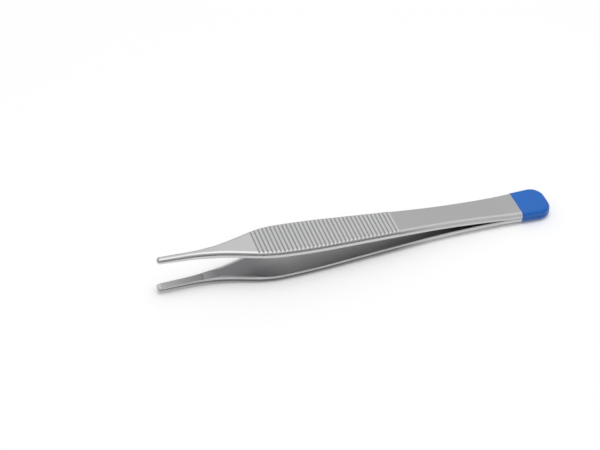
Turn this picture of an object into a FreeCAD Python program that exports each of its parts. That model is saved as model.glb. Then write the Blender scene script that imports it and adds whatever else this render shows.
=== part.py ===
import FreeCAD, Part
import math
import os

# Thumb forceps with slim serrated jaws, in millimetres, +Z up, lying on a table.
# The tips point to -X and the width runs along Y. Each tine is one sprung strip of steel.
# The two tines touch face to face at the heel, where they are welded, and a thin coloured
# coating covers the heel end.
#
# The tines are first made about a level mid-plane, with the heel end at along = 0:
#   along  distance from the heel end towards the tips (so X is -along)
#   rise   distance from the mid-plane between the tines
#   reach  how far before and after a corner its tangent arc starts and ends
# The lower tine is the upper one mirrored, and the finished pair is then laid on the table.

Vector = FreeCAD.Vector

# Plan outline of a tine: half widths, how far along each is reached, and the arc there
LENGTH = 120.0
HEEL_HALF_WIDTH = 5.8
HEEL_CORNER_REACH = 4.3
WAIST_ALONG = 0.255 * LENGTH
WAIST_HALF_WIDTH = 4.14
WAIST_REACH = 14.0
PAD_ALONG = 0.625 * LENGTH
PAD_HALF_WIDTH = 6.51
PAD_REACH = 6.7
SHOULDER_ALONG = 0.7345 * LENGTH
SHOULDER_TAPER = 0.18
SHOULDER_REACH = 4.7
JAW_ALONG = 0.87 * LENGTH
JAW_HALF_WIDTH = 1.37
JAW_REACH = 7.2
TIP_HALF_WIDTH = 1.15
TIP_CORNER_REACH = 0.9

# Side profile of a tine: where its inner face leaves the other tine, bends and opens again
WELD_END_ALONG = 0.1215 * LENGTH
WELD_END_REACH = 1.5
KNEE_ALONG = 0.73 * LENGTH
KNEE_RISE = 3.61
KNEE_REACH = 0.3
SHANK_END_ALONG = 0.856 * LENGTH
SHANK_END_RISE = 3.765
SHANK_END_REACH = 1.0
TIP_RISE = 4.59

# Thickness of the strip, broken edges and coating
STRIP_THICKNESS = 1.78
GRIP_STEP = 0.14
TIP_THICKNESS = 1.45
OUTER_CHAMFER = 0.7
INNER_CHAMFER = 0.2
COATING_THICKNESS = 0.1
COATING_LENGTH = 10.0

# Cross ridges of the grip: valleys at an even pitch, rounded ridges between them
FRONT_VALLEY_LEAD = 3.78
FRONT_VALLEY_ALONG = KNEE_ALONG + FRONT_VALLEY_LEAD
RIDGE_PITCH = 1.225
VALLEY_COUNT = 35
VALLEY_DEPTH = 0.3
RIDGE_SKIM = 0.01
LAST_RIDGE_TAIL = 0.3

# Cross teeth of the jaws: the lower row is half a pitch behind the upper one, so they mesh
TOOTH_PITCH = 0.43
TOOTH_COUNT = 28
TOOTH_DEPTH = 0.18
TOOTH_SKIM = 0.01
TOOTH_FREE_TIP = 1.1

# Room that a cutting shape has beyond the steel it cuts
CUT_ROOM = 2.0

# A face whose normal rises less than this is a side wall
STEEP_LIMIT = 0.5

# A skin over a 45 degree chamfer has the same thickness if its own chamfer is wider by this share
SKIN_CHAMFER_SHARE = 2 - math.sqrt(2)

GRIP_THICKNESS = STRIP_THICKNESS + GRIP_STEP

INNER_CORNERS = [
    (0.0, 0.0, 0.0),
    (WELD_END_ALONG, 0.0, WELD_END_REACH),
    (KNEE_ALONG, KNEE_RISE, KNEE_REACH),
    (SHANK_END_ALONG, SHANK_END_RISE, SHANK_END_REACH),
    (LENGTH, TIP_RISE, 0.0),
]


def slope_angle(start, end):
    """Angle of the line from one corner to the next."""
    return math.atan2(end[1] - start[1], end[0] - start[0])


def offset_corners(corners, distances):
    """The corners moved sideways, each by its own distance, with arcs kept parallel."""
    moved = []
    last = len(corners) - 1
    for i, (along, rise, reach) in enumerate(corners):
        before = slope_angle(corners[max(i - 1, 0)], corners[max(i, 1)])
        after = slope_angle(corners[min(i, last - 1)], corners[min(i + 1, last)])
        mean = (before + after) / 2
        stretch = distances[i] / math.cos((after - before) / 2)
        wider = distances[i] * math.tan((before - after) / 2)
        moved.append((along - stretch * math.sin(mean), rise + stretch * math.cos(mean), reach + wider))
    return moved


def rounded_edges(corners, place):
    """Straight edges through the corners, with a tangent arc of the given reach at each."""
    count = len(corners)
    joints = []
    for i, (u, v, reach) in enumerate(corners):
        here = Vector(u, v, 0)
        if reach == 0:
            joints.append((here, None, here))
            continue
        back = (Vector(*corners[i - 1][:2], 0) - here).normalize()
        ahead = (Vector(*corners[(i + 1) % count][:2], 0) - here).normalize()
        half = back.getAngle(ahead) / 2
        radius = reach * math.tan(half)
        middle = here + (back + ahead).normalize() * (radius / math.sin(half) - radius)
        joints.append((here + back * reach, middle, here + ahead * reach))
    edges = []
    for i, (start, middle, end) in enumerate(joints):
        if middle is not None:
            edges.append(Part.Arc(place(start), place(middle), place(end)).toShape())
        following = joints[(i + 1) % count][0]
        edges.append(Part.LineSegment(place(end), place(following)).toShape())
    return edges


def in_plan(point):
    """(along, across) as a point of the XY plane."""
    return Vector(-point.x, point.y, 0)


def in_side_view(point):
    """(along, rise) as a point of the XZ plane."""
    return Vector(-point.x, 0, point.y)


def plate(edges, direction):
    """The solid that a closed outline sweeps out along a direction."""
    return Part.Face(Part.Wire(Part.__sortEdges__(edges))).extrude(direction)


def half_outline(skin):
    """Corners of the plan outline on one side, from heel to tip, grown by a skin."""
    return [
        (-skin, HEEL_HALF_WIDTH + skin, HEEL_CORNER_REACH + skin),
        (WAIST_ALONG, WAIST_HALF_WIDTH + skin, WAIST_REACH),
        (PAD_ALONG, PAD_HALF_WIDTH + skin, PAD_REACH),
        (SHOULDER_ALONG, PAD_HALF_WIDTH - SHOULDER_TAPER + skin, SHOULDER_REACH),
        (JAW_ALONG, JAW_HALF_WIDTH + skin, JAW_REACH),
        (LENGTH + skin, TIP_HALF_WIDTH + skin, TIP_CORNER_REACH + skin),
    ]


def plan_prism(skin):
    """Upright prism of the tine's plan outline, tall enough for any side profile."""
    near = half_outline(skin)
    far = [(along, -across, reach) for along, across, reach in reversed(near)]
    prism = plate(rounded_edges(near + far, in_plan), Vector(0, 0, LENGTH))
    return prism.translate(Vector(0, 0, -LENGTH / 2))


def outer_corners(thickness):
    """Corners of a tine's outer face, thinning only from the shank's end to the tip."""
    thicknesses = [thickness] * (len(INNER_CORNERS) - 1) + [TIP_THICKNESS]
    return offset_corners(INNER_CORNERS, thicknesses)


def side_slab(thickness, skin):
    """Slab of the tine's side profile, wider than the tine, grown by a skin."""
    inner = offset_corners(INNER_CORNERS, [-skin] * len(INNER_CORNERS))
    outer = offset_corners(outer_corners(thickness), [skin] * len(INNER_CORNERS))
    inner[0] = (-CUT_ROOM, -skin, 0)
    outer[0] = (-CUT_ROOM, thickness + skin, 0)
    inner[-1], outer[-1] = run_past(inner), run_past(outer)
    slab = plate(rounded_edges(inner + outer[::-1], in_side_view), Vector(0, LENGTH, 0))
    return slab.translate(Vector(0, -LENGTH / 2, 0))


def run_past(corners):
    """The last corner, moved on along its own line to beyond the tip."""
    (a, b, _), (along, rise, _) = corners[-2:]
    further = LENGTH + CUT_ROOM
    return (further, rise + (further - along) * (rise - b) / (along - a), 0)


def outline_edges(solid, outer):
    """Edges between an upright side wall and the outer face, or the inner face."""
    chosen = []
    for edge in solid.Edges:
        middle = edge.valueAt((edge.FirstParameter + edge.LastParameter) / 2)
        uprights = []
        for face in solid.ancestorsOfType(edge, Part.Face):
            uprights.append(face.normalAt(*face.Surface.parameter(middle)).z)
        walls = [z for z in uprights if abs(z) < STEEP_LIMIT]
        flats = [z for z in uprights if abs(z) >= STEEP_LIMIT]
        if walls and flats and (flats[0] > 0) == outer:
            chosen.append(edge)
    return chosen


def blank(thickness, skin=0.0):
    """A whole tine of one thickness with broken edges, before ridges and teeth."""
    solid = plan_prism(skin).common(side_slab(thickness, skin)).Solids[0]
    wider = skin * SKIN_CHAMFER_SHARE
    solid = solid.makeChamfer(OUTER_CHAMFER + wider, outline_edges(solid, True)).Solids[0]
    return solid.makeChamfer(INNER_CHAMFER + wider, outline_edges(solid, False)).Solids[0]


def stretch_of(solid, start, end):
    """The part of a solid that lies between two places along the tine."""
    box = Part.makeBox(end - start, LENGTH, LENGTH, Vector(-end, -LENGTH / 2, -LENGTH / 2))
    return solid.common(box)


def rise_on(corners, along):
    """Rise of a face at a place along it."""
    for (a, b, _), (c, d, _) in zip(corners, corners[1:]):
        if along <= c:
            break
    return b + (along - a) * (d - b) / (c - a)


def across_cutter(edges, closing):
    """Cutting solid across the whole width, from a path and the points that close it."""
    ends = [edges[-1].Vertexes[-1].Point] + [in_side_view(Vector(*p, 0)) for p in closing]
    ends.append(edges[0].Vertexes[0].Point)
    for start, end in zip(ends, ends[1:]):
        edges.append(Part.LineSegment(start, end).toShape())
    width = 2 * (PAD_HALF_WIDTH + CUT_ROOM)
    return plate(edges, Vector(0, width, 0)).translate(Vector(0, -width / 2, 0))


def valley_along(number):
    """Place of a valley, counted from the front; halves are the crests between them."""
    return FRONT_VALLEY_ALONG - number * RIDGE_PITCH


def ridge_rear():
    """Place along the tine where the last ridge steps down to the plain strip."""
    return valley_along(VALLEY_COUNT - 0.5) - LAST_RIDGE_TAIL


def ridge_cutter():
    """What lies above the ridged surface: one convex arc for each ridge."""
    face = outer_corners(GRIP_THICKNESS)
    arc_radius = ((RIDGE_PITCH / 2) ** 2 + VALLEY_DEPTH ** 2) / (2 * VALLEY_DEPTH)

    def point(along, depth):
        return in_side_view(Vector(along, rise_on(face, along) - depth, 0))

    flank = point(FRONT_VALLEY_ALONG + VALLEY_DEPTH + RIDGE_SKIM, -RIDGE_SKIM)
    edges = [Part.LineSegment(flank, point(FRONT_VALLEY_ALONG, VALLEY_DEPTH)).toShape()]
    for i in range(VALLEY_COUNT - 1):
        start, end = point(valley_along(i), VALLEY_DEPTH), point(valley_along(i + 1), VALLEY_DEPTH)
        edges.append(Part.Arc(start, point(valley_along(i + 0.5), RIDGE_SKIM), end).toShape())

    # The last arc ends behind the step, halfway between the crest's level and the plain strip
    half_reach = math.sqrt(arc_radius ** 2 - (arc_radius - GRIP_STEP / 2) ** 2)
    start = point(valley_along(VALLEY_COUNT - 1), VALLEY_DEPTH)
    crest = valley_along(VALLEY_COUNT - 0.5)
    end = point(crest - half_reach, GRIP_STEP / 2 + RIDGE_SKIM)
    edges.append(Part.Arc(start, point(crest, RIDGE_SKIM), end).toShape())

    top = rise_on(face, KNEE_ALONG) + CUT_ROOM
    rear = -edges[-1].Vertexes[-1].Point.x
    front = -edges[0].Vertexes[0].Point.x
    return across_cutter(edges, [(rear, top), (front, top)])


def tooth_cutter(phase):
    """What lies between the teeth of one jaw: an even zigzag just inside its inner face."""
    def point(along, depth):
        return in_side_view(Vector(along, rise_on(INNER_CORNERS, along) + depth, 0))

    first = LENGTH - TOOTH_FREE_TIP - phase * TOOTH_PITCH
    flank = point(first + TOOTH_DEPTH, -TOOTH_SKIM)
    path = [flank]
    for i in range(TOOTH_COUNT):
        valley = first - i * TOOTH_PITCH
        path.append(point(valley, TOOTH_DEPTH))
        path.append(point(valley - TOOTH_PITCH / 2, TOOTH_SKIM))
    last = first - TOOTH_COUNT * TOOTH_PITCH
    path.append(point(last, TOOTH_DEPTH))
    path.append(point(last - TOOTH_DEPTH, -TOOTH_SKIM))
    edges = [Part.LineSegment(a, b).toShape() for a, b in zip(path, path[1:])]
    return across_cutter(edges, [(last - TOOTH_DEPTH, 0), (first + TOOTH_DEPTH, 0)])


def tine(phase):
    """The upper tine: plain strip behind the ridges, thicker grip and shank in front."""
    strip = stretch_of(blank(STRIP_THICKNESS), -CUT_ROOM, ridge_rear())
    front = stretch_of(blank(GRIP_THICKNESS), ridge_rear(), LENGTH + CUT_ROOM)
    whole = strip.fuse(front).removeSplitter()
    return whole.cut(ridge_cutter()).cut(tooth_cutter(phase)).Solids[0]


def mirrored(solid):
    """The same solid on the other side of the mid-plane."""
    return solid.mirror(Vector(0, 0, 0), Vector(0, 0, 1))


def end_coating():
    """Film of even thickness over both tines' heel ends, meeting along their seam."""
    outside = stretch_of(blank(STRIP_THICKNESS, COATING_THICKNESS), -CUT_ROOM, COATING_LENGTH)
    above = Part.makeBox(LENGTH, LENGTH, LENGTH, Vector(-LENGTH / 2, -LENGTH / 2, 0))
    film = outside.common(above).cut(blank(STRIP_THICKNESS))
    return film.fuse(mirrored(film)).removeSplitter().Solids[0]


def resting_angle():
    """Tilt that sets the coated heel end and the lowest ridge on one level."""
    face = outer_corners(GRIP_THICKNESS)
    heel_along = OUTER_CHAMFER + COATING_THICKNESS * SKIN_CHAMFER_SHARE - COATING_THICKNESS
    heel_rise = STRIP_THICKNESS + COATING_THICKNESS
    tilts = []
    for i in range(VALLEY_COUNT):
        crest = valley_along(i + 0.5)
        tilts.append(math.atan2(rise_on(face, crest) - RIDGE_SKIM - heel_rise, crest - heel_along))
    return max(tilts)


def lay_down(solids):
    """Tilt the solids to rest on a table at Z = 0, centred over the origin."""
    for solid in solids:
        solid.rotate(Vector(0, 0, 0), Vector(0, 1, 0), math.degrees(resting_angle()))
    box = Part.makeCompound(solids).optimalBoundingBox(False, False)
    shift = Vector(-(box.XMin + box.XMax) / 2, -(box.YMin + box.YMax) / 2, -box.ZMin)
    for solid in solids:
        solid.translate(shift)


nodes = {
    "upper_tine": tine(0.0),
    "lower_tine": mirrored(tine(0.5)),
    "end_coating": end_coating(),
}
lay_down(list(nodes.values()))

os.makedirs("parts", exist_ok=True)
for name, solid in nodes.items():
    solid.exportStep(os.path.join("parts", name + ".step"))
    box = solid.BoundBox
    print(name, "valid", solid.isValid(), "volume", round(solid.Volume, 2),
          "size", round(box.XLength, 2), round(box.YLength, 2), round(box.ZLength, 2))
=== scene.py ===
import math

import bpy
import numpy as np
from bpy.props import FloatProperty, FloatVectorProperty, IntProperty, PointerProperty, StringProperty
from mathutils import Matrix, Vector


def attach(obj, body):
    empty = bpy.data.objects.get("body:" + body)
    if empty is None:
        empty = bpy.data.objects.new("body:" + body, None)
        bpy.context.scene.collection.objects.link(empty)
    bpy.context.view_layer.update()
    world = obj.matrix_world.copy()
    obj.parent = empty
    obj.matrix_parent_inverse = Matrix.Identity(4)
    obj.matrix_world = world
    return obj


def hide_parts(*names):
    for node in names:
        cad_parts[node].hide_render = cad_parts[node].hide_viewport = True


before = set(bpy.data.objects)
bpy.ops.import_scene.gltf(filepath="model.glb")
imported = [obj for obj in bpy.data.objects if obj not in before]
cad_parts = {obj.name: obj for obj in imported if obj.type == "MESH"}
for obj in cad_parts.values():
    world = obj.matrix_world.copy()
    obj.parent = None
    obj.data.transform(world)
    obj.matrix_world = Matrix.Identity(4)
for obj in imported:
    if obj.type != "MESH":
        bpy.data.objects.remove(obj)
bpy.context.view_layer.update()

# Thumb forceps lying on a white table, in metres, +Z up, tips towards -X.
# Each tine is worked out in its own flat terms before it is laid on the table:
#   along   distance from the heel end towards the tips
#   across  distance from the middle line
#   rise    distance from the plane in which the two tines meet
#   inset   distance inwards from the tine's outline, seen from above
#   reach   how far before and after a corner its smooth bend starts and ends

bl_info = {
    "name": "Thumb Forceps",
    "version": (1, 0, 0),
    "blender": (4, 5, 0),
    "location": "View3D > Sidebar > Forceps",
    "description": "Builds ridged and toothed thumb forceps with a coated heel end, and their table",
    "category": "Object",
}

MM = 0.001

# How finely the surfaces are divided
ARC_STEPS = 14
ROUNDING_STEPS = 12
INNER_ROUNDING_STEPS = 5
RIDGE_STEPS = 10
BEND_ROWS = 7
TABLE_CORNERS = 64
PLAIN_STEP = 1.2 * MM
SHANK_STEP = 0.35 * MM
FILM_STEP = 0.4 * MM
STEP_GAP = 0.002 * MM
# Rows between two end corners keep this many reaches of the corner away from its end
CORNER_CLEARANCE = 1.06
# Columns of points across a face, as shares of its half width
FACE_COLUMNS = (-1.0, -0.94, -0.8, -0.4, 0.0, 0.4, 0.8, 0.94, 1.0)
# Faces that turn more than this against each other are shaded with a sharp edge
SHARP_ANGLE = math.radians(32)

# An edge takes on its own finish over this many steps of its rounding
EDGE_BLEND_STEPS = 3
# The valleys' painted shade comes in with this power of their depth, so that only their bottoms are dark
VALLEY_SHADE_POWER = 3

# Brightness of the room over the sine of the angle above the horizon, in front of the forceps
# and behind them. The one turns into the other between two Y parts of the direction.
ROOM_HEIGHTS = (0.0, 0.2, 0.4, 0.6, 0.75, 0.88, 0.96, 1.0)
ROOM_FRONT_LEVELS = (0.05, 0.06, 0.16, 0.28, 0.28, 0.38, 0.98, 1.0)
ROOM_BACK_LEVELS = (0.06, 0.22, 0.38, 0.34, 0.34, 0.38, 0.98, 1.0)
ROOM_STRENGTH = 2.0
ROOM_TURN = (-0.3, 0.5)

# Width of the camera's sensor, in millimetres
SENSOR_WIDTH = 36.0


def length_of(name, description, millimetres):
    """A property for a length, with its default given in millimetres."""
    return FloatProperty(
        name=name, description=description, default=millimetres * MM, min=0.0, unit="LENGTH", precision=6
    )


def share_of(name, description, share):
    """A property for a share or a roughness, from 0 to 1."""
    return FloatProperty(
        name=name, description=description, default=share, min=0.0, max=1.0, subtype="FACTOR"
    )


def colour_of(name, description, colour):
    """A property for a colour, given as an sRGB hex value."""
    return StringProperty(name=name, description=description + ", as an sRGB hex value", default=colour)


class ForcepsOutline(bpy.types.PropertyGroup):
    """Outline of a tine seen from above"""

    length: length_of("Length", "Whole length of a tine", 120.0)
    heel_half_width: length_of("Heel Half Width", "Half the width at the heel end", 5.8)
    heel_corner_reach: length_of("Heel Corner", "Reach of the rounded corners of the heel", 4.3)
    waist_along: length_of("Waist Place", "Distance of the narrow waist from the heel end", 30.6)
    waist_half_width: length_of("Waist Half Width", "Half the width at the waist", 4.14)
    waist_reach: length_of("Waist Reach", "Reach of the waist's curve", 14.0)
    pad_along: length_of("Pad Place", "Distance of the widest part from the heel end", 75.0)
    pad_half_width: length_of("Pad Half Width", "Half the width at the finger pad", 6.50)
    pad_reach: length_of("Pad Reach", "Reach of the pad's curve", 6.7)
    shoulder_along: length_of("Shoulder Place", "Distance of the shoulder from the heel end", 88.14)
    shoulder_taper: length_of("Shoulder Taper", "How much narrower the shoulder is than the pad", 0.18)
    shoulder_reach: length_of("Shoulder Reach", "Reach of the shoulder's curve", 4.7)
    jaw_along: length_of("Jaw Place", "Distance of the jaw's root from the heel end", 104.4)
    jaw_half_width: length_of("Jaw Half Width", "Half the width at the jaw's root", 1.37)
    jaw_reach: length_of("Jaw Reach", "Reach of the curve into the jaw", 7.2)
    tip_half_width: length_of("Tip Half Width", "Half the width at the tip", 1.15)
    tip_corner_reach: length_of("Tip Corner", "Reach of the rounded corners of the tip", 0.9)


class ForcepsSection(bpy.types.PropertyGroup):
    """Side profile, thickness and edges of a tine"""

    weld_end_along: length_of("Weld End", "Where the tines part, from the heel end", 14.58)
    weld_end_reach: length_of("Weld End Reach", "Reach of the bend where the tines part", 1.5)
    knee_along: length_of("Knee Place", "Distance of the knee from the heel end", 87.6)
    knee_rise: length_of("Knee Rise", "Rise of the inner face at the knee", 3.61)
    knee_reach: length_of("Knee Reach", "Reach of the bend at the knee", 0.3)
    shank_end_along: length_of("Shank End", "Where the jaw opens again, from the heel end", 102.72)
    shank_end_rise: length_of("Shank End Rise", "Rise of the inner face there", 3.765)
    shank_end_reach: length_of("Shank End Reach", "Reach of the bend there", 1.0)
    tip_rise: length_of("Tip Rise", "Rise of the inner face at the tip", 4.59)
    strip_thickness: length_of("Strip Thickness", "Thickness of the plain spring strip", 1.78)
    grip_step: length_of("Grip Step", "How much thicker the grip is than the strip", 0.14)
    tip_thickness: length_of("Tip Thickness", "Thickness at the tip", 1.45)
    outer_rounding: length_of("Outer Rounding", "How far the outer edges' rounding reaches across", 1.2)
    jaw_rounding: share_of("Jaw Rounding", "The same at the jaws, as a share of their half width", 0.9)
    side_wall: length_of("Side Wall", "Height of the upright wall between the roundings", 0.1)
    inner_rounding: length_of("Inner Rounding", "Radius of the inner edges", 0.3)
    shank_rounding: length_of("Shank Rounding", "Reach across of the shank's inner rounding", 1.0)
    shank_rounding_start: length_of("Shank Rounding Start", "Where it is full, past the knee", 5.0)
    shank_rounding_end: length_of("Shank Rounding End", "Where it starts to go, before the jaw", 3.0)
    resting_angle: FloatProperty(
        name="Resting Angle", description="Tilt of the tines' meeting plane on the table",
        default=math.radians(2.3964269), subtype="ANGLE", precision=5
    )
    heel_place: FloatVectorProperty(
        name="Heel Place", description="Where the middle of the heel end lies above the table",
        default=(59.985762 * MM, 0.0, 1.850896 * MM), size=3, subtype="TRANSLATION", unit="LENGTH"
    )


class ForcepsPattern(bpy.types.PropertyGroup):
    """Cross ridges of the grip and cross teeth of the jaws"""

    front_valley_along: length_of("Front Valley", "Foremost valley, from the heel end", 91.38)
    ridge_pitch: length_of("Ridge Pitch", "Distance between two ridges", 1.225)
    valley_count: IntProperty(name="Valleys", description="Number of valleys", default=35, min=1)
    valley_depth: length_of("Valley Depth", "Depth of a valley below the face", 0.3)
    ridge_skim: length_of("Ridge Skim", "How far the crests lie below the face", 0.01)
    ridge_crown: FloatProperty(
        name="Ridge Crown", description="Power of a ridge's curve: 2 is round, more is flatter on top",
        default=2.4, min=1.0
    )
    last_tail: length_of("Last Ridge Tail", "How far the last ridge runs behind its crest", 0.3)
    tooth_pitch: length_of("Tooth Pitch", "Distance between two teeth", 0.43)
    tooth_count: IntProperty(name="Teeth", description="Number of teeth in a jaw", default=28, min=1)
    tooth_depth: length_of("Tooth Depth", "Depth of the teeth", 0.18)
    tooth_skim: length_of("Tooth Skim", "How far the tooth crests lie below the face", 0.01)
    free_tip: length_of("Plain Tip", "Length of the tip without teeth", 1.1)


class ForcepsCoating(bpy.types.PropertyGroup):
    """Coating over the heel end"""

    length: length_of("Length", "How far the coating reaches from the heel end", 10.0)
    thickness: length_of("Thickness", "Thickness of the film", 0.1)
    colour: colour_of("Colour", "Film", "#0C65C0")


class ForcepsSteel(bpy.types.PropertyGroup):
    """Finish of the steel, and the painted shade on its valleys, inner faces and lower outer edges"""

    colour: colour_of("Colour", "Blasted ridges and edges", "#DEDEDE")
    # Painted shade at the bottoms of the valleys between the ridges
    valley_shade_colour: colour_of("Valley Colour", "Valleys between the ridges", "#929294")
    strip_colour: colour_of("Strip Colour", "Plain strip behind the ridges", "#C8C8C9")
    ground_colour: colour_of("Ground Colour", "Ground edges", "#CBCBCC")
    # Painted shade: the lower tine's outer edges are darkened for the shadowed table that they mirror
    under_shade_colour: colour_of("Under Colour", "Lower tine's outer edges, with painted shade", "#6E6E71")
    # Painted shade on the inner faces, darker still on the shanks, for the gap between the tines
    inside_shade_colour: colour_of("Inside Colour", "Inner faces", "#B2B2B3")
    shank_shade_colour: colour_of("Shank Colour", "Inner faces of the shanks", "#8C8C8E")
    roughness: share_of("Roughness", "Roughness of the blasted faces", 0.42)
    blasted_edge_roughness: share_of("Blasted Edge Roughness", "Roughness of the blasted edges", 0.65)
    ground_roughness: share_of("Ground Roughness", "Roughness of the ground edges", 0.28)
    inside_roughness: share_of("Inside Roughness", "Roughness of the inner faces", 0.3)
    blasted_edge_end: length_of("Blasted Edge End", "Where the edges stop being blasted", 38.0)
    ground_edge_start: length_of("Ground Edge Start", "Where the edges are fully ground", 50.0)
    shank_shade_start: length_of("Shank Tone Start", "Where the shank's colour starts, behind the knee", 6.0)
    shank_shade_full: length_of("Shank Tone Full", "Where it is full, past the knee", 4.0)
    shank_shade_fade: length_of("Shank Tone Fade", "Where it starts to go, before the jaw", 2.0)
    shank_shade_end: length_of("Shank Tone End", "Where it is gone, past the jaw's root", 3.0)
    inside_end: length_of("Inside End", "Where the inner faces' finish is gone, before the tip", 1.0)


class ForcepsStage(bpy.types.PropertyGroup):
    """Table, lamp and camera"""

    table_radius: FloatProperty(
        name="Table Radius", description="Radius of the white table", default=3.0, min=0.1, unit="LENGTH"
    )
    table_colour: colour_of("Table Colour", "Table top", "#FDFDFD")
    table_white_share: share_of("Plain White Share", "How much of the table is seen as plain white", 0.12)
    lamp_place: FloatVectorProperty(
        name="Lamp Place", description="Place of the overhead soft box",
        default=(0.0, -0.05, 0.8), size=3, subtype="TRANSLATION", unit="LENGTH"
    )
    lamp_size: FloatProperty(
        name="Lamp Size", description="Side of the square soft box", default=0.25, unit="LENGTH"
    )
    lamp_power: FloatProperty(
        name="Lamp Power", description="Power of the soft box in watts", default=1.5, unit="POWER"
    )
    camera_azimuth: FloatProperty(
        name="Azimuth", description="Direction of the camera round the forceps",
        default=math.radians(-18.56594), subtype="ANGLE"
    )
    camera_elevation: FloatProperty(
        name="Elevation", description="Height of the camera above the table, as an angle",
        default=math.radians(41.84265), subtype="ANGLE"
    )
    camera_roll: FloatProperty(
        name="Roll", description="Turn of the camera about its view",
        default=math.radians(0.43761), subtype="ANGLE"
    )
    camera_distance: FloatProperty(
        name="Distance", description="Distance from the camera to the place it looks at",
        default=466.57 * MM, unit="LENGTH"
    )
    camera_target: FloatVectorProperty(
        name="Target", description="Place that the camera looks at",
        default=(-15.1501 * MM, 7.47286 * MM, 6.87025 * MM), size=3, subtype="TRANSLATION", unit="LENGTH"
    )
    camera_lens: FloatProperty(
        name="Lens", description="Focal length for a 36 mm wide sensor, in millimetres", default=96.486,
        min=1.0
    )


class ForcepsSettings(bpy.types.PropertyGroup):
    """All settings of the forceps"""

    outline: PointerProperty(type=ForcepsOutline)
    section: PointerProperty(type=ForcepsSection)
    pattern: PointerProperty(type=ForcepsPattern)
    coating: PointerProperty(type=ForcepsCoating)
    steel: PointerProperty(type=ForcepsSteel)
    stage: PointerProperty(type=ForcepsStage)


def linear(colour):
    """Linear RGBA of an sRGB hex value."""
    channels = [int(colour[i:i + 2], 16) / 255 for i in (1, 3, 5)]
    return [c / 12.92 if c <= 0.04045 else ((c + 0.055) / 1.055) ** 2.4 for c in channels] + [1.0]


def add_node(tree, kind, settings=None, inputs=None):
    """Adds a node. An input's value is a number, a colour, or the output socket that feeds it."""
    node = tree.nodes.new(kind)
    for name, value in (settings or {}).items():
        setattr(node, name, value)
    for name, value in (inputs or {}).items():
        if isinstance(value, bpy.types.NodeSocket):
            tree.links.new(value, node.inputs[name])
        else:
            node.inputs[name].default_value = value
    return node


def new_material(name):
    """An empty material with its node tree."""
    material = bpy.data.materials.new(name)
    material.use_nodes = True
    material.node_tree.nodes.clear()
    return material, material.node_tree


def blasted_steel(finish, name, outer_edge_colour_or_shade):
    """Stainless steel, glass bead blasted, with edges ground after it: soft grey faces, bright edges, and
    painted shade in the valleys, on the inner faces and on the outer edges where a shade colour is passed
    in.
    """
    material, tree = new_material(name)
    place = add_node(tree, "ShaderNodeTexCoord").outputs["Object"]
    # Blasting leaves pits of about 0.05 mm, drawn here at 0.16 mm so that they show at all
    pit_spacing = 0.16 * MM
    pit_depth = 0.02 * MM
    grain = add_node(tree, "ShaderNodeTexNoise", inputs={
        "Vector": place, "Scale": 1 / pit_spacing, "Detail": 2.0, "Roughness": 0.6})
    # Uneven blasting varies the sheen over about 6 mm. The noise runs mostly from 0.3 to 0.7.
    patch_spacing = 6 * MM
    unevenness = 0.03
    patches = add_node(tree, "ShaderNodeTexNoise", inputs={
        "Vector": place, "Scale": 1 / patch_spacing, "Detail": 3.0, "Roughness": 0.5})
    shares = {}
    for share in ("edge", "outer_edge", "valley", "ground", "strip", "inside", "shank"):
        shares[share] = add_node(tree, "ShaderNodeAttribute", {"attribute_name": share}).outputs["Fac"]
    tones = {
        "ridges": linear(finish.colour),
        "valley_shade_tone": linear(finish.valley_shade_colour),
        "strip": linear(finish.strip_colour),
        "inner_edges": linear(finish.ground_colour),
        "outer_edges_ground_or_shade": linear(outer_edge_colour_or_shade),
        "inner_face_shade_tone": linear(finish.inside_shade_colour),
        "shank_shade_tone": linear(finish.shank_shade_colour),
    }
    # Each line lays its third tone over its second, by its share, and gives the result its first
    # name. The valleys get a painted shade, the inner faces and more so the shanks a painted shade for the
    # gap between the tines, and the outer edges the colour passed in, which for the lower tine is a painted
    # shade.
    for made, below, above, share in (
        ("grip", "ridges", "valley_shade_tone", "valley"),
        ("face", "grip", "strip", "strip"),
        ("ground", "inner_edges", "outer_edges_ground_or_shade", "outer_edge"),
        ("outside", "face", "ground", "ground"),
        ("inside", "inner_face_shade_tone", "shank_shade_tone", "shank"),
        ("whole", "outside", "inside", "inside"),
    ):
        mix = add_node(tree, "ShaderNodeMix", {"data_type": "RGBA"}, {
            "Factor": shares[share], "A": tones[below], "B": tones[above]})
        tones[made] = mix.outputs["Result"]
    # Grinding gives the edges a clearer mirror
    edge_rough = add_node(tree, "ShaderNodeMapRange", inputs={
        "Value": shares["ground"], "To Min": finish.blasted_edge_roughness,
        "To Max": finish.ground_roughness})
    outside_rough = add_node(tree, "ShaderNodeMapRange", inputs={
        "Value": shares["edge"], "To Min": finish.roughness, "To Max": edge_rough.outputs[0]})
    rough = add_node(tree, "ShaderNodeMapRange", inputs={
        "Value": shares["inside"], "To Min": outside_rough.outputs[0],
        "To Max": finish.inside_roughness})
    uneven = add_node(tree, "ShaderNodeMapRange", inputs={
        "Value": patches.outputs["Fac"], "From Min": 0.3, "From Max": 0.7,
        "To Min": -unevenness, "To Max": unevenness})
    total = add_node(tree, "ShaderNodeMath", {"operation": "ADD"})
    tree.links.new(rough.outputs[0], total.inputs[0])
    tree.links.new(uneven.outputs[0], total.inputs[1])
    bump = add_node(tree, "ShaderNodeBump", inputs={
        "Height": grain.outputs["Fac"], "Strength": 0.12, "Distance": pit_depth})
    shader = add_node(tree, "ShaderNodeBsdfPrincipled", inputs={
        "Base Color": tones["whole"], "Metallic": 1.0, "Roughness": total.outputs[0],
        "Normal": bump.outputs["Normal"]})
    add_node(tree, "ShaderNodeOutputMaterial", inputs={"Surface": shader.outputs["BSDF"]})
    return material


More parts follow.
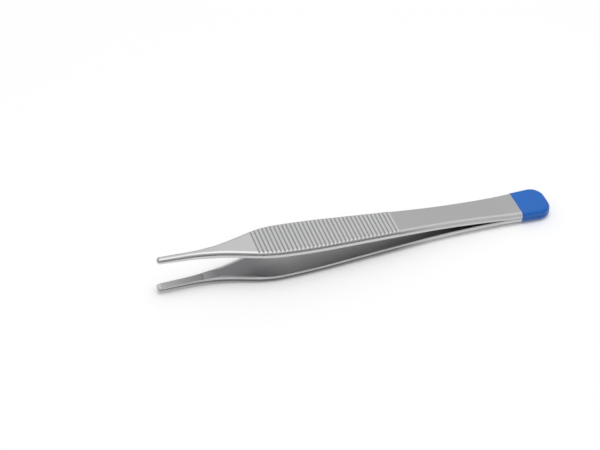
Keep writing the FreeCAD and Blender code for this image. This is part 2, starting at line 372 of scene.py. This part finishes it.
def polyamide_film(coating):
    """Polyamide film, sintered from powder: an even satin blue with a faint orange peel."""
    material, tree = new_material("polyamide_powder_coat_satin")
    place = add_node(tree, "ShaderNodeTexCoord").outputs["Object"]
    # Orange peel of a sintered film, about 0.8 mm from hill to hill
    peel_spacing = 0.8 * MM
    peel_depth = 0.02 * MM
    peel = add_node(tree, "ShaderNodeTexNoise", inputs={
        "Vector": place, "Scale": 1 / peel_spacing, "Detail": 2.0, "Roughness": 0.45})
    bump = add_node(tree, "ShaderNodeBump", inputs={
        "Height": peel.outputs["Fac"], "Strength": 0.2, "Distance": peel_depth})
    # Its hills and dips shade the blue by an eighth at most
    shade = add_node(tree, "ShaderNodeMix", {"data_type": "RGBA", "blend_type": "MULTIPLY"}, {
        "Factor": 0.12, "A": linear(coating.colour), "B": peel.outputs["Fac"]})
    shader = add_node(tree, "ShaderNodeBsdfPrincipled", inputs={
        "Base Color": shade.outputs["Result"], "Roughness": 0.42, "IOR": 1.5,
        "Normal": bump.outputs["Normal"]})
    add_node(tree, "ShaderNodeOutputMaterial", inputs={"Surface": shader.outputs["BSDF"]})
    return material


def laminate(stage):
    """Matt white table laminate, pressed: an even white that keeps soft shadows."""
    material, tree = new_material("table_laminate_matt_white")
    surface = add_node(tree, "ShaderNodeBsdfDiffuse", inputs={"Color": linear(stage.table_colour)})
    glow = add_node(tree, "ShaderNodeEmission", inputs={"Color": linear("#FFFFFF"), "Strength": 1.0})
    # The eye and the steel see part of the table as plain white; its shadows stay in the rest
    path = add_node(tree, "ShaderNodeLightPath")
    seen = path.outputs["Is Camera Ray"]
    for ray in ("Is Glossy Ray", "Is Transmission Ray"):
        both = add_node(tree, "ShaderNodeMath", {"operation": "MAXIMUM"})
        tree.links.new(seen, both.inputs[0])
        tree.links.new(path.outputs[ray], both.inputs[1])
        seen = both.outputs[0]
    share = add_node(tree, "ShaderNodeMapRange", inputs={
        "Value": seen, "To Max": stage.table_white_share})
    mixed = add_node(tree, "ShaderNodeMixShader", inputs={"Fac": share.outputs[0]})
    tree.links.new(surface.outputs[0], mixed.inputs[1])
    tree.links.new(glow.outputs[0], mixed.inputs[2])
    add_node(tree, "ShaderNodeOutputMaterial", inputs={"Surface": mixed.outputs[0]})
    return material


def bent_line(corners, along):
    """Height of a line through (along, rise, reach) corners, with a smooth bend at each."""
    places, rises, reaches = np.array(corners, float).T
    slopes = np.diff(rises) / np.diff(places)
    height = np.interp(along, places, rises)
    for i in range(1, len(places) - 1):
        away = np.clip(reaches[i] - abs(along - places[i]), 0, None)
        height += (slopes[i] - slopes[i - 1]) * away ** 2 / (4 * reaches[i])
    return height


def outline_points(outline):
    """Points and inward normals along one side, from the heel's straight end to the tip's."""
    corners = [
        (0.0, 0.0, 0.0),
        (0.0, outline.heel_half_width, outline.heel_corner_reach),
        (outline.waist_along, outline.waist_half_width, outline.waist_reach),
        (outline.pad_along, outline.pad_half_width, outline.pad_reach),
        (outline.shoulder_along, outline.pad_half_width - outline.shoulder_taper, outline.shoulder_reach),
        (outline.jaw_along, outline.jaw_half_width, outline.jaw_reach),
        (outline.length, outline.tip_half_width, outline.tip_corner_reach),
        (outline.length, 0.0, 0.0),
    ]
    points, normals = [], []
    for before, corner, after in zip(corners, corners[1:], corners[2:]):
        here = np.array(corner[:2])
        back = np.array(before[:2]) - here
        ahead = np.array(after[:2]) - here
        back, ahead = back / np.linalg.norm(back), ahead / np.linalg.norm(ahead)
        half = math.acos(np.clip(back @ ahead, -1, 1)) / 2
        radius = corner[2] * math.tan(half)
        inwards = (back + ahead) / np.linalg.norm(back + ahead)
        centre = here + inwards * radius / math.sin(half)
        # A corner that turns inwards has its centre outside the tine
        inside = 1.0 if inwards[1] < 0 or corner in (corners[1], corners[-2]) else -1.0
        start = here + back * corner[2] - centre
        end = here + ahead * corner[2] - centre
        turn = math.pi - 2 * half
        for k in range(ARC_STEPS + 1):
            share = k / ARC_STEPS
            spoke = (math.sin((1 - share) * turn) * start + math.sin(share * turn) * end) / math.sin(turn)
            points.append(centre + spoke)
            normals.append(-inside * spoke / radius)
    return np.array(points), np.array(normals)


def edge_line(outline, middles, inset):
    """(along, across) of each row's end on the outline, moved inwards by inset(along)."""
    points, normals = outline_points(outline)
    moved = points + inset(points[:, :1]) * normals
    heel, tip = moved[:ARC_STEPS + 1], moved[-ARC_STEPS - 1:]
    middle = np.column_stack([middles, np.interp(middles, moved[:, 0], moved[:, 1])])
    return np.vstack([heel, middle, tip])


def inner_face(outline, section, along):
    """Rise of the inner face."""
    corners = [
        (-outline.length, 0.0, 0.0),
        (section.weld_end_along, 0.0, section.weld_end_reach),
        (section.knee_along, section.knee_rise, section.knee_reach),
        (section.shank_end_along, section.shank_end_rise, section.shank_end_reach),
        (outline.length, section.tip_rise, 0.0),
    ]
    return bent_line(corners, along)


def rounding_width(outline, section, along):
    """How far the outer rounding reaches across: even, and less at the slim jaws."""
    return np.interp(
        along, [outline.shoulder_along, outline.jaw_along, outline.length],
        [section.outer_rounding, section.jaw_rounding * outline.jaw_half_width,
         section.jaw_rounding * outline.tip_half_width])


def inner_rounding_width(outline, section, along):
    """How far the inner rounding reaches across: more at the shank, where the strip is ground slim."""
    start = section.knee_along + section.shank_rounding_start
    end = outline.jaw_along - section.shank_rounding_end
    return np.interp(
        along, [section.knee_along, start, end, outline.jaw_along],
        [section.inner_rounding, section.shank_rounding, section.shank_rounding, section.inner_rounding])


def ridge_rear(pattern):
    """Where the last ridge steps down to the plain strip."""
    last = pattern.front_valley_along - (pattern.valley_count - 0.5) * pattern.ridge_pitch
    return last - pattern.last_tail


def ridge_depth(pattern, along):
    """Depth of the ridged surface below the grip's face: each ridge is a low crown with steep flanks."""
    half = pattern.ridge_pitch / 2
    fall = pattern.valley_depth - pattern.ridge_skim
    behind = pattern.front_valley_along - along
    from_crest = np.mod(behind, pattern.ridge_pitch) - half
    last_crest = (pattern.valley_count - 0.5) * pattern.ridge_pitch
    from_crest = np.where(behind > last_crest, behind - last_crest, from_crest)
    crown = pattern.ridge_skim + fall * np.clip(abs(from_crest) / half, 0, 1) ** pattern.ridge_crown
    flank = np.clip(pattern.valley_depth + behind, 0, None)
    return np.where(behind < 0, flank, crown)


def thickness_at(outline, section, pattern, along):
    """Thickness of a tine, square to its inner face."""
    grip = section.strip_thickness + section.grip_step
    thickness = np.interp(along, [section.shank_end_along, outline.length], [grip, section.tip_thickness])
    return np.where(along > ridge_rear(pattern), thickness, section.strip_thickness)


def outer_face(outline, section, pattern, along):
    """Rise of the outer face before the ridges are cut, and with them."""
    inner = inner_face(outline, section, along)
    nudge = 0.01 * MM
    before, after = (inner_face(outline, section, along + step) for step in (-nudge, nudge))
    slope = (after - before) / (2 * nudge)
    face = inner + thickness_at(outline, section, pattern, along) * np.sqrt(1 + slope ** 2)
    ridged = face - ridge_depth(pattern, along)
    return face, np.where(along > ridge_rear(pattern), ridged, face)


def tooth_rise(outline, pattern, phase, along):
    """Height of the toothed surface above the inner face: an even zigzag."""
    first = outline.length - pattern.free_tip - phase * pattern.tooth_pitch
    places, heights = [first + pattern.tooth_depth, first], [0.0, pattern.tooth_depth]
    for i in range(pattern.tooth_count):
        places += [first - (i + 0.5) * pattern.tooth_pitch, first - (i + 1) * pattern.tooth_pitch]
        heights += [pattern.tooth_skim, pattern.tooth_depth]
    places.append(places[-1] - pattern.tooth_depth)
    heights.append(0.0)
    return np.interp(along, places[::-1], heights[::-1])


def row_places(outline, section, pattern, phase):
    """Places along the tine at which the surface gets a row of points, between the end corners."""
    start = outline.heel_corner_reach * CORNER_CLEARANCE
    end = outline.length - outline.tip_corner_reach * CORNER_CLEARANCE
    rear, front = ridge_rear(pattern), pattern.front_valley_along
    bend = section.weld_end_reach
    places = list(np.arange(start, rear - PLAIN_STEP / 2, PLAIN_STEP))
    places += list(section.weld_end_along + np.linspace(-bend, bend, BEND_ROWS))
    places += [rear - STEP_GAP, rear + STEP_GAP]
    shares = (1 - np.cos(np.linspace(0, math.pi, RIDGE_STEPS + 1))) / 2
    for i in range(pattern.valley_count):
        places += list(front - (i + shares) * pattern.ridge_pitch)
    places = [p for p in places if p <= rear - STEP_GAP or p >= rear + STEP_GAP]
    places += [front + pattern.valley_depth / 2, front + pattern.valley_depth]
    first = outline.length - pattern.free_tip - phase * pattern.tooth_pitch
    last = first - pattern.tooth_count * pattern.tooth_pitch - pattern.tooth_depth
    places += list(np.arange(front + pattern.valley_depth + SHANK_STEP, last - SHANK_STEP / 2, SHANK_STEP))
    places += [last, last + pattern.tooth_depth, first, first + pattern.tooth_depth]
    for i in range(pattern.tooth_count):
        places += [first - (i + 0.5) * pattern.tooth_pitch, first - (i + 1) * pattern.tooth_pitch]
    places = np.unique(np.round(places, 8))
    places = places[(places > start - STEP_GAP) & (places < end)]
    return places[np.insert(np.diff(places) > STEP_GAP / 2, 0, True)]


def loop_of(edge):
    """Closed loop along one side, across the tip, back along the other side and across the heel."""
    between = np.array(FACE_COLUMNS[1:-1])
    right, left = edge * [1, 1], edge * [1, -1]
    tip = np.column_stack([np.full(len(between), edge[-1, 0]), edge[-1, 1] * between[::-1]])
    heel = np.column_stack([np.full(len(between), edge[0, 0]), edge[0, 1] * between])
    return np.vstack([right, tip, left[::-1], heel])


def quads_between(first, second):
    """Quads between two closed rings of point numbers."""
    return np.column_stack([first, np.roll(first, -1), np.roll(second, -1), second])


def face_grid(ring, row_count, first_new):
    """Point numbers of a face inside a ring: its ends from the ring, new ones in between."""
    columns = len(FACE_COLUMNS)
    grid = np.empty((row_count, columns), int)
    right, rest = ring[:row_count], ring[row_count:]
    tip, rest = rest[:columns - 2], rest[columns - 2:]
    left, heel = rest[:row_count][::-1], rest[row_count:]
    grid[:, -1], grid[:, 0] = right, left
    grid[-1, 1:-1], grid[0, 1:-1] = tip[::-1], heel
    new = (row_count - 2) * (columns - 2)
    grid[1:-1, 1:-1] = np.arange(first_new, first_new + new).reshape(row_count - 2, columns - 2)
    return grid


def grid_quads(grid):
    """Quads of a grid of point numbers."""
    a, b, c, d = grid[:-1, :-1], grid[:-1, 1:], grid[1:, 1:], grid[1:, :-1]
    return np.column_stack([a.ravel(), b.ravel(), c.ravel(), d.ravel()])


def lay_on_table(section, points, side):
    """Tine points (along, across, rise) in the place where they lie; side is -1 for the lower tine."""
    tilt = Matrix.Rotation(section.resting_angle, 3, "Y")
    placed = np.column_stack([-points[:, 0], points[:, 1], side * points[:, 2]])
    return placed @ np.array(tilt).T + np.array(section.heel_place)


def new_piece(name, points, quads, material, attributes=None):
    """A mesh piece from points and quads, with smooth shading between its sharp edges."""
    mesh = bpy.data.meshes.new(name)
    mesh.from_pydata(points.tolist(), [], quads.tolist())
    mesh.validate()
    mesh.shade_smooth()
    mesh.set_sharp_from_angle(angle=SHARP_ANGLE)
    for attribute, values in (attributes or {}).items():
        mesh.attributes.new(attribute, "FLOAT", "POINT").data.foreach_set("value", values)
    mesh.materials.append(material)
    piece = bpy.data.objects.new(name, mesh)
    bpy.context.scene.collection.objects.link(piece)
    return piece


def finish_shares(settings, along, edges, outers, insides):
    """How far each finish and each painted shade of the steel covers each point, from 0 to 1."""
    outline, section, pattern, steel = settings.outline, settings.section, settings.pattern, settings.steel
    ground = np.interp(along, [steel.blasted_edge_end, steel.ground_edge_start], [0.0, 1.0])
    ridged = (along > ridge_rear(pattern)) & (along < pattern.front_valley_along + STEP_GAP)
    depth = np.clip(ridge_depth(pattern, along) / pattern.valley_depth, 0, 1)
    knee, root = section.knee_along, outline.jaw_along
    shank_places = [knee - steel.shank_shade_start, knee + steel.shank_shade_full,
                    root - steel.shank_shade_fade, root + steel.shank_shade_end]
    # From where the shank's painted shade is gone, the inner faces' painted shade and smoother finish fade
    # towards the tip
    jaw_places = [root + steel.shank_shade_end, outline.length - steel.inside_end]
    return {
        "edge": edges,
        "outer_edge": outers,
        "valley": ridged * outers * (1 - edges) * depth ** VALLEY_SHADE_POWER,
        "ground": ground * edges,
        "strip": (along < ridge_rear(pattern)) * (1 - edges),
        "inside": np.interp(along, jaw_places, [1.0, 0.0]) * insides,
        "shank": np.interp(along, shank_places, [0.0, 1.0, 1.0, 0.0]),
    }


def tine_mesh(settings, phase):
    """Points (along, across, rise), quads and finish shares of a tine; phase shifts its teeth."""
    outline, section, pattern = settings.outline, settings.section, settings.pattern
    middles = row_places(outline, section, pattern, phase)
    points, edge_shares, outers, insides, rings = [], [], [], [], []

    def width(along):
        return rounding_width(outline, section, along)

    def inner_width(along):
        return inner_rounding_width(outline, section, along)

    def add_points(flat, rise, edge_share, outer, inside):
        points.append(np.column_stack([flat, rise]))
        edge_shares.append(np.full(len(flat), edge_share))
        outers.append(np.full(len(flat), outer))
        insides.append(np.full(len(flat), inside))

    def add_ring(inset, height, edge_share, outer, inside):
        loop = loop_of(edge_line(outline, middles, inset))
        rings.append(np.arange(len(loop)) + sum(len(p) for p in points))
        add_points(loop, height(loop[:, 0]), edge_share, outer, inside)

    def add_face(ring, inset, height, inside):
        edge = edge_line(outline, middles, inset)
        grid = face_grid(ring, len(edge), sum(len(p) for p in points))
        along = np.repeat(edge[1:-1, 0], len(FACE_COLUMNS) - 2)
        across = np.outer(edge[1:-1, 1], FACE_COLUMNS[1:-1]).ravel()
        add_points(np.column_stack([along, across]), height(along), 0.0, 1.0 - inside, inside)
        return grid_quads(grid)

    def outer_rise(along, drop=0.0):
        face, ridged = outer_face(outline, section, pattern, along)
        wall_top = section.inner_rounding + section.side_wall
        height = thickness_at(outline, section, pattern, along) - wall_top
        return np.minimum(face - drop * height, ridged)

    def inner_rise(along, lift=0.0):
        teeth = tooth_rise(outline, pattern, phase, along)
        return inner_face(outline, section, along) + np.maximum(lift * section.inner_rounding, teeth)

    for k in range(ROUNDING_STEPS + 1):
        angle = math.pi / 2 * k / ROUNDING_STEPS
        add_ring(lambda along: width(along) * (1 - math.sin(angle)),
                 lambda along: outer_rise(along, 1 - math.cos(angle)), min(1.0, k / EDGE_BLEND_STEPS),
                 float(k < ROUNDING_STEPS), 0.0)
    for k in range(INNER_ROUNDING_STEPS, -1, -1):
        angle = math.pi / 2 * k / INNER_ROUNDING_STEPS
        add_ring(lambda along: inner_width(along) * (1 - math.sin(angle)),
                 lambda along: inner_rise(along, 1 - math.cos(angle)), min(1.0, k / EDGE_BLEND_STEPS),
                 0.0, float(k == 0))
    quads = [quads_between(a, b) for a, b in zip(rings, rings[1:])]
    quads.append(add_face(rings[0], width, outer_rise, 0.0)[:, ::-1])
    quads.append(add_face(rings[-1], inner_width, inner_rise, 1.0))
    points = np.vstack(points)
    finish = finish_shares(settings, points[:, 0], np.concatenate(edge_shares), np.concatenate(outers),
                           np.concatenate(insides))
    return points, np.vstack(quads), finish


class OBJECT_OT_forceps_tines(bpy.types.Operator):
    """Build the upper and the lower steel tine"""

    bl_idname = "object.forceps_tines"
    bl_label = "Build Tines"

    def execute(self, context):
        settings = context.scene.forceps
        look = settings.steel
        upper = blasted_steel(look, "stainless_steel_bead_blasted", look.ground_colour)
        # The lower tine's outer edges get a painted shade for the shadowed table that they mirror
        lower = blasted_steel(look, "stainless_steel_blasted_painted_shade_underside", look.under_shade_colour)
        for node, side, phase, steel in (("upper_tine", 1, 0.0, upper), ("lower_tine", -1, 0.5, lower)):
            points, quads, finish = tine_mesh(settings, phase)
            placed = lay_on_table(settings.section, points, side)
            piece = new_piece("steel_" + node, placed, quads[:, ::side], steel, finish)
            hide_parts(node)
            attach(piece, "root")
        return {"FINISHED"}


def film_layers(settings, skin):
    """The film's outside (skin = its thickness) or inside (skin = 0), in layers from top to bottom.

    A layer is one side's (along, across) points, from the heel's end forward, and their rise."""
    outline, section, coating = settings.outline, settings.section, settings.coating
    middles = np.arange(outline.heel_corner_reach * CORNER_CLEARANCE, coating.length, FILM_STEP)
    middles = np.append(middles, coating.length - (coating.thickness if skin else 0))
    outer, inner = section.outer_rounding, section.inner_rounding
    wall_top = inner + section.side_wall
    height = section.strip_thickness - wall_top
    profile = []
    for k in range(ROUNDING_STEPS + 1):
        angle = math.pi / 2 * k / ROUNDING_STEPS
        profile.append((outer - (outer + skin) * math.sin(angle),
                        wall_top + (height + skin) * math.cos(angle)))
    # Where the two rounded inner edges meet in the seam
    seam = math.asin(inner / (inner + skin)) if skin else math.pi / 2
    for k in range(INNER_ROUNDING_STEPS + 1):
        angle = seam * k / INNER_ROUNDING_STEPS
        profile.append((inner - (inner + skin) * math.cos(angle),
                        inner - (inner + skin) * math.sin(angle)))
    profile += [(inset, -rise) for inset, rise in profile[-2::-1]]
    layers = []
    for inset, rise in profile:
        edge = edge_line(outline, middles, lambda along: inset)[:ARC_STEPS + 1 + len(middles)]
        layers.append((edge, rise))
    return layers


def film_mesh(settings):
    """Points (along, across, rise) and quads of the film, outside and inside, joined at its front."""
    columns = np.array(FACE_COLUMNS)
    points, quads, fronts = [], [], []
    count = 0
    for skin in (settings.coating.thickness, 0.0):
        layers = film_layers(settings, skin)
        rows = len(layers[0][0])
        # Each ring runs from one side's front round the heel's end to the other side's front
        rings = []
        for edge, rise in layers:
            heel = np.column_stack([np.full(len(columns) - 2, edge[0, 0]), edge[0, 1] * columns[1:-1]])
            path = np.vstack([(edge * [1, -1])[::-1], heel, edge])
            rings.append(np.arange(len(path)) + count)
            points.append(np.column_stack([path, np.full(len(path), rise)]))
            count += len(path)
        walls = [np.column_stack([a[:-1], a[1:], b[1:], b[:-1]]) for a, b in zip(rings, rings[1:])]
        grids = []
        for ring, (edge, rise) in ((rings[0], layers[0]), (rings[-1], layers[-1])):
            grid = np.empty((rows, len(columns)), int)
            grid[:, 0], grid[:, -1] = ring[:rows][::-1], ring[-rows:]
            grid[0, 1:-1] = ring[rows:-rows]
            new = (rows - 1) * (len(columns) - 2)
            grid[1:, 1:-1] = np.arange(count, count + new).reshape(rows - 1, -1)
            along = np.repeat(edge[1:, 0], len(columns) - 2)
            across = np.outer(edge[1:, 1], columns[1:-1]).ravel()
            points.append(np.column_stack([along, across, np.full(new, rise)]))
            count += new
            grids.append(grid)
        made = np.vstack(walls + [grid_quads(grids[0]), grid_quads(grids[1])[:, ::-1]])
        quads.append(made if skin else made[:, ::-1])
        right = [ring[-1] for ring in rings]
        left = [ring[0] for ring in rings]
        fronts.append(np.array(
            list(grids[0][-1, 1:]) + right[1:] + list(grids[1][-1, :-1][::-1]) + left[-2::-1]))
    quads.append(quads_between(fronts[0], fronts[1]))
    return np.vstack(points), np.vstack(quads)


class OBJECT_OT_forceps_end_coating(bpy.types.Operator):
    """Build the blue film over the heel end of both tines"""

    bl_idname = "object.forceps_end_coating"
    bl_label = "Build End Coating"

    def execute(self, context):
        settings = context.scene.forceps
        points, quads = film_mesh(settings)
        placed = lay_on_table(settings.section, points, 1)
        piece = new_piece("blue_end_coating", placed, quads, polyamide_film(settings.coating))
        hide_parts("end_coating")
        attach(piece, "root")
        return {"FINISHED"}


def soft_box(name, place, target, size, power):
    """A square lamp that points at a target and that the pieces don't mirror."""
    lamp = bpy.data.lights.new(name, "AREA")
    lamp.size, lamp.energy = size, power
    holder = bpy.data.objects.new(name, lamp)
    holder.location = place
    holder.rotation_euler = (Vector(target) - Vector(place)).to_track_quat("-Z", "Y").to_euler()
    # The steel mirrors the room's even ceiling in place of the small lamp
    holder.visible_glossy = False
    bpy.context.scene.collection.objects.link(holder)


def studio_room():
    """Light of a photo studio: a bright ceiling, half bright walls, and the dimmest one in front."""
    world = bpy.data.worlds.new("studio_room")
    world.use_nodes = True
    tree = world.node_tree
    tree.nodes.clear()
    place = add_node(tree, "ShaderNodeTexCoord").outputs["Generated"]
    parts = add_node(tree, "ShaderNodeSeparateXYZ", inputs={"Vector": place})
    walls = []
    for levels in (ROOM_FRONT_LEVELS, ROOM_BACK_LEVELS):
        ramp = add_node(tree, "ShaderNodeValToRGB", inputs={"Fac": parts.outputs["Z"]})
        stops = ramp.color_ramp.elements
        while len(stops) < len(ROOM_HEIGHTS):
            stops.new(0.5)
        for stop, height, level in zip(stops, ROOM_HEIGHTS, levels):
            stop.position = height
            stop.color = (level, level, level, 1.0)
        walls.append(ramp.outputs["Color"])
    behind = add_node(tree, "ShaderNodeMapRange", {"interpolation_type": "SMOOTHSTEP"}, {
        "Value": parts.outputs["Y"], "From Min": ROOM_TURN[0], "From Max": ROOM_TURN[1]})
    level = add_node(tree, "ShaderNodeMix", {"data_type": "RGBA"}, {
        "Factor": behind.outputs[0], "A": walls[0], "B": walls[1]})
    background = add_node(tree, "ShaderNodeBackground", inputs={
        "Color": level.outputs["Result"], "Strength": ROOM_STRENGTH})
    add_node(tree, "ShaderNodeOutputWorld", inputs={"Surface": background.outputs["Background"]})
    return world


class SCENE_OT_forceps_stage(bpy.types.Operator):
    """Set the white table, the studio light and the camera"""

    bl_idname = "scene.forceps_stage"
    bl_label = "Set Stage"

    def execute(self, context):
        scene, stage = context.scene, context.scene.forceps.stage
        angles = np.linspace(0, 2 * math.pi, TABLE_CORNERS, endpoint=False)
        radius = stage.table_radius
        rim = [(radius * math.cos(a), radius * math.sin(a), 0.0) for a in angles]
        mesh = bpy.data.meshes.new("table_top")
        mesh.from_pydata(rim, [], [list(range(len(rim)))])
        mesh.materials.append(laminate(stage))
        table = bpy.data.objects.new("table_top", mesh)
        scene.collection.objects.link(table)

        scene.world = studio_room()
        soft_box("overhead_soft_box", stage.lamp_place, (0.0, 0.0, 0.0), stage.lamp_size, stage.lamp_power)

        azimuth, elevation = stage.camera_azimuth, stage.camera_elevation
        back = Vector((math.sin(azimuth) * math.cos(elevation), -math.cos(azimuth) * math.cos(elevation),
                       math.sin(elevation)))
        camera_data = bpy.data.cameras.new("photo_camera")
        camera_data.sensor_width = SENSOR_WIDTH
        camera_data.lens = stage.camera_lens
        camera_data.clip_start = 10 * MM
        camera = bpy.data.objects.new("photo_camera", camera_data)
        camera.location = Vector(stage.camera_target) + back * stage.camera_distance
        turn = Matrix.Rotation(stage.camera_roll, 4, back)
        camera.rotation_euler = (turn @ back.to_track_quat("Z", "Y").to_matrix().to_4x4()).to_euler()
        scene.collection.objects.link(camera)
        scene.camera = camera
        scene.view_settings.view_transform = "Standard"
        return {"FINISHED"}


class VIEW3D_PT_forceps(bpy.types.Panel):
    """Builds the forceps and their stage"""

    bl_label = "Thumb Forceps"
    bl_space_type = "VIEW_3D"
    bl_region_type = "UI"
    bl_category = "Forceps"

    def draw(self, context):
        for step in (OBJECT_OT_forceps_tines, OBJECT_OT_forceps_end_coating, SCENE_OT_forceps_stage):
            self.layout.operator(step.bl_idname)


CLASSES = (
    ForcepsOutline, ForcepsSection, ForcepsPattern, ForcepsCoating, ForcepsSteel, ForcepsStage,
    ForcepsSettings, OBJECT_OT_forceps_tines, OBJECT_OT_forceps_end_coating, SCENE_OT_forceps_stage,
    VIEW3D_PT_forceps,
)


def register():
    for kind in CLASSES:
        bpy.utils.register_class(kind)
    bpy.types.Scene.forceps = PointerProperty(type=ForcepsSettings)


def unregister():
    del bpy.types.Scene.forceps
    for kind in reversed(CLASSES):
        bpy.utils.unregister_class(kind)


def main():
    register()
    bpy.ops.object.forceps_tines()
    bpy.ops.object.forceps_end_coating()
    bpy.ops.scene.forceps_stage()


if __name__ == "__main__":
    main()
